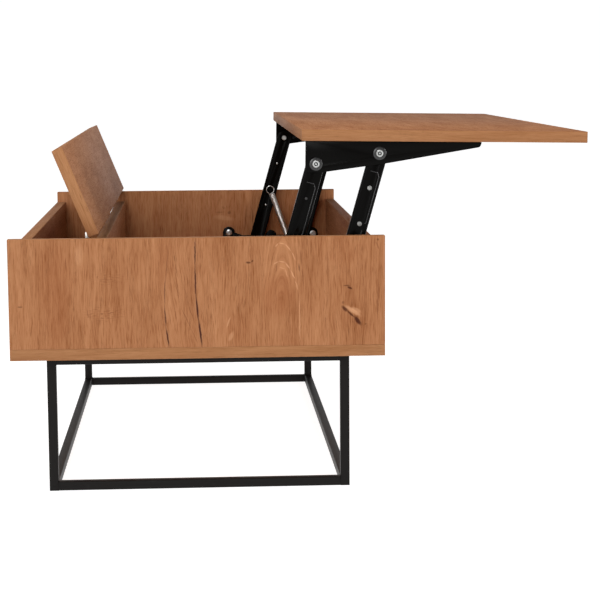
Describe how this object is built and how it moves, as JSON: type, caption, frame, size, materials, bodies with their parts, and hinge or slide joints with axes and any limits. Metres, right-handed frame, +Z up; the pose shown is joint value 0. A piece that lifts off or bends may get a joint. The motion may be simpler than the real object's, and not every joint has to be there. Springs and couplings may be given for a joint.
{
  "type": "lift top coffee table",
  "caption": "Low wooden storage table on a black square tube frame, with a lift top on spring-assisted parallel arms and a narrow hinged side lid.",
  "frame": {"origin": "on the floor, in the middle of the outline that the table covers with its top raised", "axes": "+Z up; +X across the table towards the side the top rises to; +Y along the table, with the near end at -Y"},
  "size_m": [0.9292, 1.1, 0.5861],
  "materials": {
    "oak_board": "satin melamine oak grain with a slight pore relief",
    "frame_tube": "satin black powder coat",
    "black_steel": "smooth black enamel on pressed sheet",
    "black_washer": "blackened steel",
    "zinc_fastener": "bright zinc plate",
    "spring_wire": "drawn spring wire",
    "nickel_hinge": "nickel plate",
    "clear_pad": "soft clear pad"
  },
  "bodies": {
    "case": {"near_left_leg": "frame_tube", "near_right_leg": "frame_tube", "near_bottom_rail": "frame_tube", "near_top_rail": "frame_tube", "far_left_leg": "frame_tube", "far_right_leg": "frame_tube", "far_bottom_rail": "frame_tube", "far_top_rail": "frame_tube", "left_bottom_rail": "frame_tube", "left_top_rail": "frame_tube", "right_bottom_rail": "frame_tube", "right_top_rail": "frame_tube", "base_board": "oak_board", "near_end_panel": "oak_board", "far_end_panel": "oak_board", "left_side_wall": "oak_board", "right_side_wall": "oak_board", "divider": "oak_board", "near_hinge_arm": "nickel_hinge", "far_hinge_arm": "nickel_hinge", "near_base_bracket": "black_steel", "near_rear_base_pin": "zinc_fastener", "near_front_base_pin": "zinc_fastener", "near_stop_bolt": "zinc_fastener", "near_plate_bolt": "zinc_fastener", "far_base_bracket": "black_steel", "far_rear_base_pin": "zinc_fastener", "far_front_base_pin": "zinc_fastener", "far_stop_bolt": "zinc_fastener", "far_plate_bolt": "zinc_fastener"},
    "near_rear_arm": {"near_rear_arm": "black_steel", "near_spring_pin": "zinc_fastener"},
    "near_front_arm": {"near_front_arm": "black_steel"},
    "far_rear_arm": {"far_rear_arm": "black_steel", "far_spring_pin": "zinc_fastener"},
    "far_front_arm": {"far_front_arm": "black_steel"},
    "lift_top": {"lift_top_panel": "oak_board", "near_top_pad": "clear_pad", "far_top_pad": "clear_pad", "near_top_bracket": "black_steel", "near_rear_top_pin": "zinc_fastener", "near_rear_washer": "black_washer", "near_front_top_pin": "zinc_fastener", "near_front_washer": "black_washer", "far_top_bracket": "black_steel", "far_rear_top_pin": "zinc_fastener", "far_rear_washer": "black_washer", "far_front_top_pin": "zinc_fastener", "far_front_washer": "black_washer"},
    "near_spring": {"near_spring": "spring_wire"},
    "far_spring": {"far_spring": "spring_wire"},
    "narrow_lid": {"narrow_lid": "oak_board", "near_hinge_cup": "nickel_hinge", "far_hinge_cup": "nickel_hinge", "near_lid_pad": "clear_pad", "far_lid_pad": "clear_pad"},
    "hinge_links": {"near_hinge_link": "nickel_hinge", "far_hinge_link": "nickel_hinge"}
  },
  "joints": [
    {"name": "lift", "type": "hinge", "parent": "case", "child": "near_rear_arm", "pos_m": [-0.04556, 0, 0.27509], "axis": [0, 1, 0], "range_deg": [-86.71, 0]},
    {"name": "near_front_swing", "type": "hinge", "parent": "case", "child": "near_front_arm", "pos_m": [0.05654, 0, 0.29209], "axis": [0, 1, 0], "range_deg": [-86.81, 0]},
    {"name": "far_rear_swing", "type": "hinge", "parent": "case", "child": "far_rear_arm", "pos_m": [-0.04556, 0, 0.27509], "axis": [0, 1, 0], "range_deg": [-86.81, 0]},
    {"name": "far_front_swing", "type": "hinge", "parent": "case", "child": "far_front_arm", "pos_m": [0.05654, 0, 0.29209], "axis": [0, 1, 0], "range_deg": [-86.81, 0]},
    {"name": "top_level", "type": "hinge", "parent": "near_rear_arm", "child": "lift_top", "pos_m": [0.02678, 0, 0.53073], "axis": [0, 1, 0], "range_deg": [0, 85.88]},
    {"name": "near_spring_swing", "type": "hinge", "parent": "case", "child": "near_spring", "pos_m": [0.05244, 0, 0.2631], "axis": [0, 1, 0], "range_deg": [-55.7, 0], "deforming": ["near_spring"]},
    {"name": "far_spring_swing", "type": "hinge", "parent": "case", "child": "far_spring", "pos_m": [0.05244, 0, 0.2631], "axis": [0, 1, 0], "range_deg": [-55.7, 0], "deforming": ["far_spring"]},
    {"name": "lid_open", "type": "hinge", "parent": "case", "child": "narrow_lid", "pos_m": [-0.31632, 0, 0.4192], "axis": [0, 1, 0], "range_deg": [-68, 25]},
    {"name": "hinge_link_turn", "type": "hinge", "parent": "case", "child": "hinge_links", "pos_m": [-0.34362, 0, 0.392], "axis": [0, 1, 0], "range_deg": [-90.1, 33.2]}
  ],
  "couplings": [
    {"joint": "near_front_swing", "follows": "lift", "ratio": 1},
    {"joint": "far_rear_swing", "follows": "lift", "ratio": 1},
    {"joint": "far_front_swing", "follows": "lift", "ratio": 1},
    {"joint": "top_level", "follows": "lift", "ratio": -0.98929},
    {"joint": "near_spring_swing", "follows": "lift", "ratio": 0.6416},
    {"joint": "far_spring_swing", "follows": "lift", "ratio": 0.6416},
    {"joint": "hinge_link_turn", "follows": "lid_open", "ratio": 1.3235}
  ]
}
